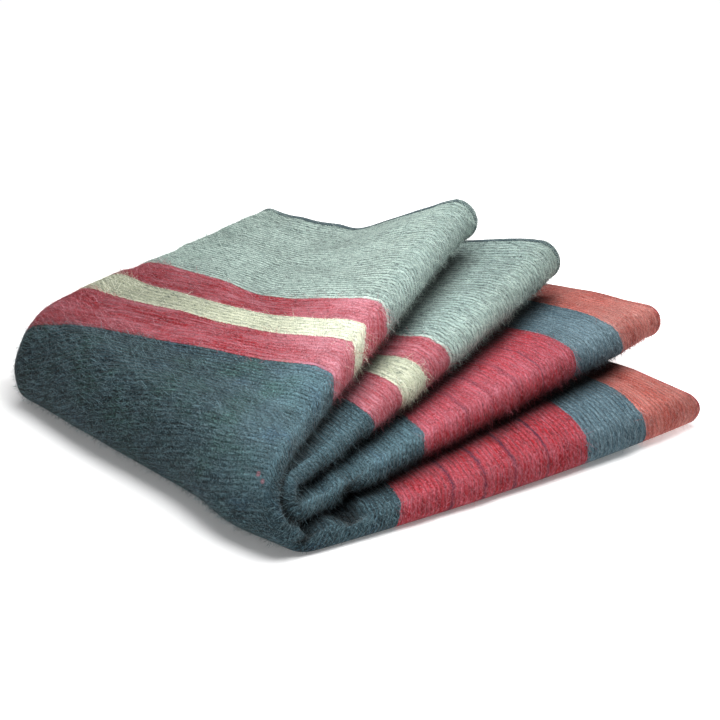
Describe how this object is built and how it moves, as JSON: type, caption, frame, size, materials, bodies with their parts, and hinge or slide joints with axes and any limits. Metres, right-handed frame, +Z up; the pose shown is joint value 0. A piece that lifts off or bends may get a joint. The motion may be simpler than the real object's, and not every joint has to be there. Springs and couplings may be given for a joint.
{
  "type": "folded blanket",
  "caption": "Woven and brushed wool-type blanket, folded in plies round a thick rounded spine with its near ends fanned out, for a shelf, bed or sofa.",
  "frame": {"origin": "on the underside, under the middle of the footprint", "axes": "+Z up; +X from the folded spine towards the tips of the lowest page; +Y along the spine, from the fanned near end to the left end"},
  "size_m": [0.5988, 0.5571, 0.1639],
  "materials": {
    "brushed_alpaca": "brushed"
  },
  "bodies": {
    "root": {"blanket": "brushed_alpaca"}
  },
  "joints": []
}
